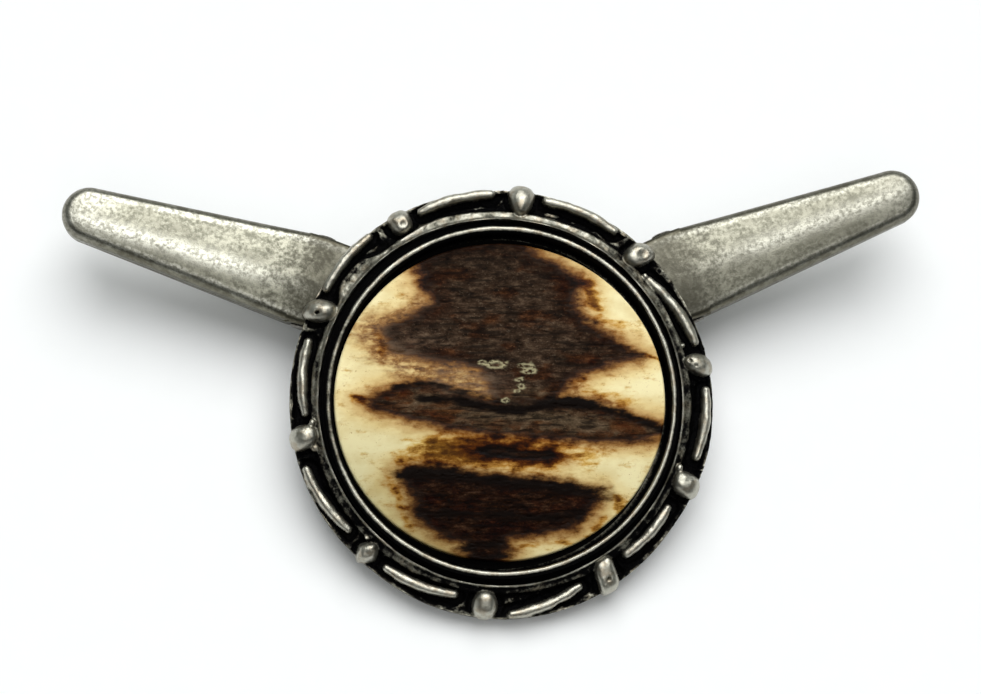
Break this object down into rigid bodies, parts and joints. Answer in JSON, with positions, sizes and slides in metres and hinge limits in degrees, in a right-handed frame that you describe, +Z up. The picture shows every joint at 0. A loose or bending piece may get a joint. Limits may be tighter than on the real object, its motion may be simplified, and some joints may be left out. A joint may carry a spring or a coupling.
{
  "type": "antler medallion scarf clip",
  "caption": "Round cast medallion with an antler slab inside a knotted twig border, and sprung jaws behind it in a V that clip to a scarf, neckerchief or tie.",
  "frame": {"origin": "middle of the part's bounding box at the table that it lies on", "axes": "+Z is up from the table, +X runs from the left clip to the right clip, +Y runs from the medallion's low edge to the side that the clips point to; the medallion faces up and leans 15.5 degrees towards -Y, on the bottom of its rim and the rolled ends of the levers"},
  "size_m": [0.0778, 0.0409, 0.013],
  "materials": {
    "cast_pewter": "satin",
    "antler": "satin",
    "epoxy": "gloss",
    "rivet_steel": "satin",
    "clip_steel": "satin",
    "pin_steel": "polished",
    "spring_wire": "satin"
  },
  "bodies": {
    "medallion": {"bezel": "cast_pewter", "antler_slab": "antler", "adhesive_bed": "epoxy", "rivet_left": "rivet_steel", "rivet_right": "rivet_steel"},
    "clip_left": {"upper_jaw_left": "clip_steel", "hinge_pin_left": "pin_steel", "torsion_spring_left": "spring_wire"},
    "jaw_left": {"lower_jaw_left": "clip_steel"},
    "clip_right": {"upper_jaw_right": "clip_steel", "hinge_pin_right": "pin_steel", "torsion_spring_right": "spring_wire"},
    "jaw_right": {"lower_jaw_right": "clip_steel"}
  },
  "joints": [
    {"name": "swivel_left", "type": "hinge", "parent": "medallion", "child": "clip_left", "pos_m": [-0.00818, 0.00732, 0.00735], "axis": [0, -0.2674, 0.9636], "range_deg": [-15, 15]},
    {"name": "open_left", "type": "hinge", "parent": "clip_left", "child": "jaw_left", "pos_m": [-0.01633, 0.0103, 0.00561], "axis": [-0.284, -0.9239, -0.2564], "range_deg": [0, 20], "stiffness_Nm_per_rad": 0.06, "springref_deg": -42.97, "deforming": ["torsion_spring_left"]},
    {"name": "swivel_right", "type": "hinge", "parent": "medallion", "child": "clip_right", "pos_m": [0.00881, 0.00732, 0.00735], "axis": [0, -0.2674, 0.9636], "range_deg": [-15, 15]},
    {"name": "open_right", "type": "hinge", "parent": "clip_right", "child": "jaw_right", "pos_m": [0.01678, 0.01083, 0.00576], "axis": [-0.3486, 0.9032, 0.2506], "range_deg": [0, 20], "stiffness_Nm_per_rad": 0.06, "springref_deg": -42.97, "deforming": ["torsion_spring_right"]}
  ]
}
